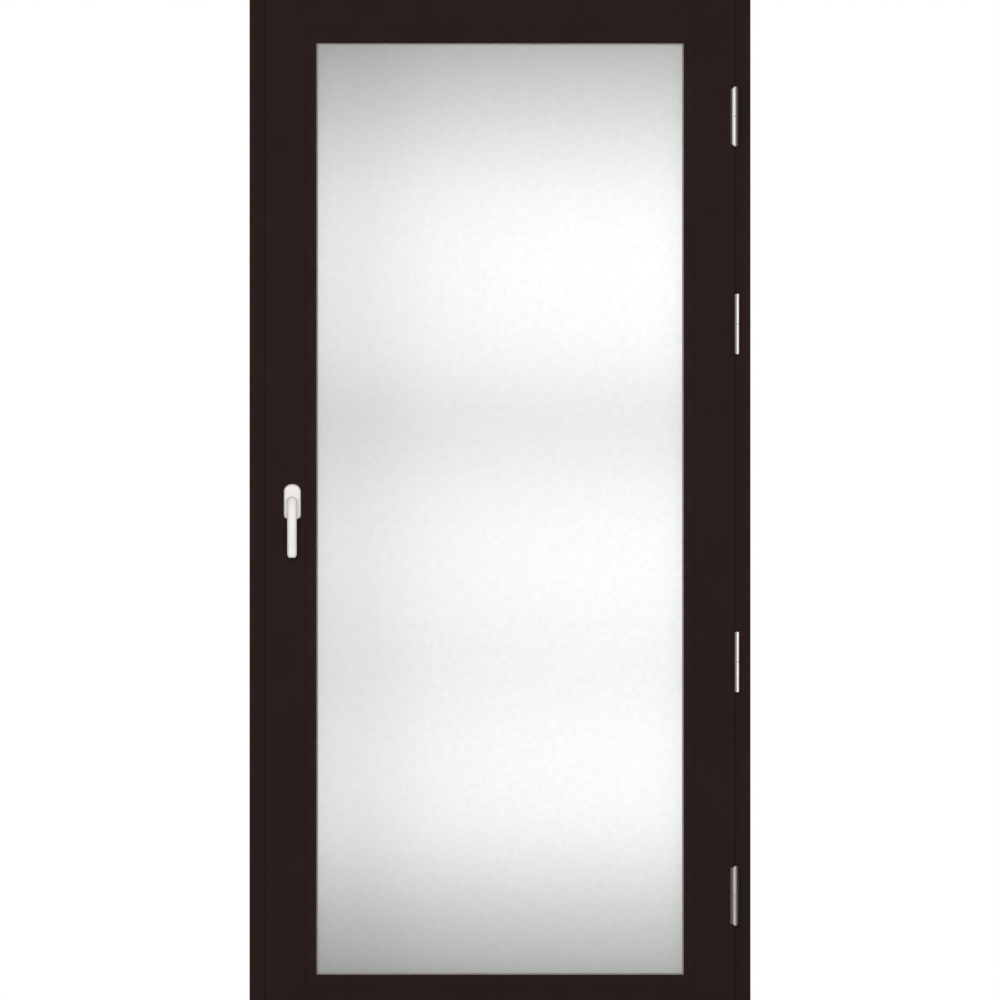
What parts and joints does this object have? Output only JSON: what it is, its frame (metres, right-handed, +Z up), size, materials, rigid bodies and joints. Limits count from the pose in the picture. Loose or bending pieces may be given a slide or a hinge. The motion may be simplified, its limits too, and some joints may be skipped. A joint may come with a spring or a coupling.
{
  "type": "balcony door",
  "caption": "Dark brown aluminium balcony door in its frame, opening into the room, with a full-height satin glass pane, barrel hinges and a small lever handle.",
  "frame": {"origin": "middle of the sill's underside, halfway through the frame's depth", "axes": "+X towards the hinge side as seen from the room, +Y outdoors, +Z up"},
  "size_m": [1, 0.139, 2.1],
  "materials": {
    "powder_coat": "matte",
    "polyamide": "matte",
    "mill_aluminium": "satin",
    "black_seal": "matte",
    "grey_seal": "matte",
    "satin_glass": "matte",
    "clear_glass": "polished",
    "spacer_metal": "satin",
    "sealant": "matte",
    "block_plastic": "matte",
    "hinge_coat": "satin",
    "bright_steel": "satin",
    "bush_plastic": "satin",
    "handle_coat": "satin",
    "zinc_plate": "satin",
    "cap_plastic": "matte"
  },
  "bodies": {
    "frame": {"centre_gasket": "black_seal", "drain_caps": "cap_plastic", "frame_corner_cleats": "mill_aluminium", "frame_head_inner": "powder_coat", "frame_head_outer": "powder_coat", "frame_hinge_jamb_inner": "powder_coat", "frame_hinge_jamb_outer": "powder_coat", "frame_lock_jamb_inner": "powder_coat", "frame_lock_jamb_outer": "powder_coat", "frame_screws": "bright_steel", "frame_sill_inner": "powder_coat", "frame_sill_outer": "powder_coat", "frame_thermal_strips": "polyamide", "hinge_frame_leaf_1": "hinge_coat", "hinge_frame_leaf_2": "hinge_coat", "hinge_frame_leaf_3": "hinge_coat", "hinge_frame_leaf_4": "hinge_coat", "hinge_pins": "bright_steel", "lock_keeps": "zinc_plate"},
    "sash": {"bead_bottom": "powder_coat", "bead_hinge_side": "powder_coat", "bead_lock_side": "powder_coat", "bead_top": "powder_coat", "bottom_rail_inner": "powder_coat", "bottom_rail_outer": "powder_coat", "edge_seal": "sealant", "gearbox_case": "zinc_plate", "gearbox_cover": "zinc_plate", "hinge_bushes": "bush_plastic", "hinge_sash_leaf_1": "hinge_coat", "hinge_sash_leaf_2": "hinge_coat", "hinge_sash_leaf_3": "hinge_coat", "hinge_sash_leaf_4": "hinge_coat", "hinge_stile_inner": "powder_coat", "hinge_stile_outer": "powder_coat", "lock_stile_inner": "powder_coat", "lock_stile_outer": "powder_coat", "middle_pane": "clear_glass", "outdoor_glass_gasket": "black_seal", "outdoor_pane": "clear_glass", "overlap_gasket": "black_seal", "room_glass_gasket": "grey_seal", "room_pane": "satin_glass", "rosette_base": "zinc_plate", "rosette_cover": "handle_coat", "rosette_screws": "bright_steel", "sash_corner_cleats": "mill_aluminium", "sash_screws": "bright_steel", "sash_thermal_strips": "polyamide", "setting_blocks": "block_plastic", "spacer_bars": "spacer_metal", "top_rail_inner": "powder_coat", "top_rail_outer": "powder_coat"},
    "handle": {"lever": "handle_coat", "spindle": "bright_steel", "drive_pinion": "bright_steel"},
    "drive": {"drive_rod": "zinc_plate", "rack_slide": "zinc_plate", "lock_pins": "bright_steel"}
  },
  "joints": [
    {"name": "door_swing", "type": "hinge", "parent": "frame", "child": "sash", "pos_m": [0.471, -0.0525, 0], "axis": [0, 0, 1], "range_deg": [0, 170]},
    {"name": "handle_turn", "type": "hinge", "parent": "sash", "child": "handle", "pos_m": [-0.4142, -0.05, 1.065], "axis": [0, -1, 0], "range_deg": [0, 90]},
    {"name": "drive_rod_slide", "type": "slide", "parent": "sash", "child": "drive", "axis": [0, 0, 1], "range_m": [0, 0.0176]}
  ],
  "couplings": [
    {"joint": "drive_rod_slide", "follows": "handle_turn", "m_per_rad": 0.0112}
  ]
}
